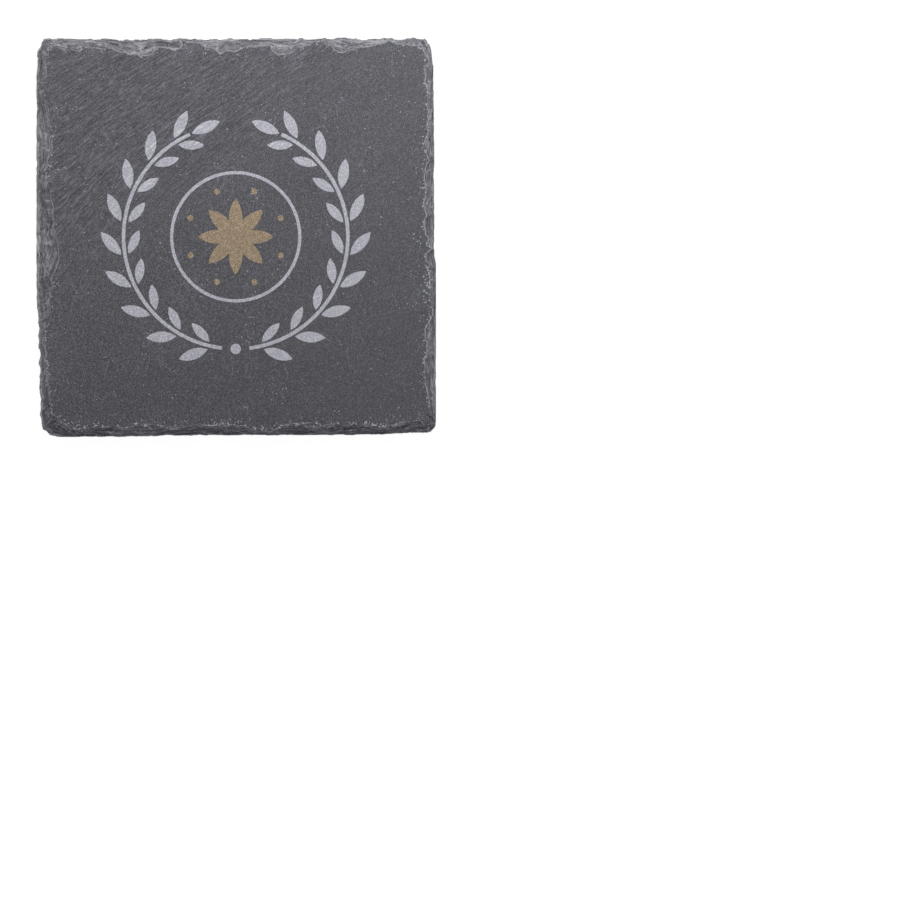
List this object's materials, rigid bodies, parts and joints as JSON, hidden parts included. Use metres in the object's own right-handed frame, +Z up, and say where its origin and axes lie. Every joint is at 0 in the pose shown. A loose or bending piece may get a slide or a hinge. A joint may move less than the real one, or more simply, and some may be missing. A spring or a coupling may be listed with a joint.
{
  "type": "drink coaster",
  "caption": "Square slate drink coaster with chipped edges, round foam feet stuck underneath and a printed leaf wreath and rosette on top.",
  "frame": {"origin": "on the table under the middle of the coaster, at the height of the feet's soles", "axes": "+Z up out of the printed face, -Y towards the edge nearest the reader of the print, +X to the reader's right"},
  "size_m": [0.1, 0.1, 0.0072],
  "materials": {
    "slate": "matte",
    "foam": "matte",
    "adhesive": "satin",
    "white_ink": "matte",
    "gold_ink": "satin"
  },
  "bodies": {
    "root": {"slate_slab": "slate", "foot_front_left": "foam", "foot_front_right": "foam", "foot_rear_left": "foam", "foot_rear_right": "foam", "adhesive_front_left": "adhesive", "adhesive_front_right": "adhesive", "adhesive_rear_left": "adhesive", "adhesive_rear_right": "adhesive", "print_white": "white_ink", "print_gold": "gold_ink"}
  },
  "joints": []
}
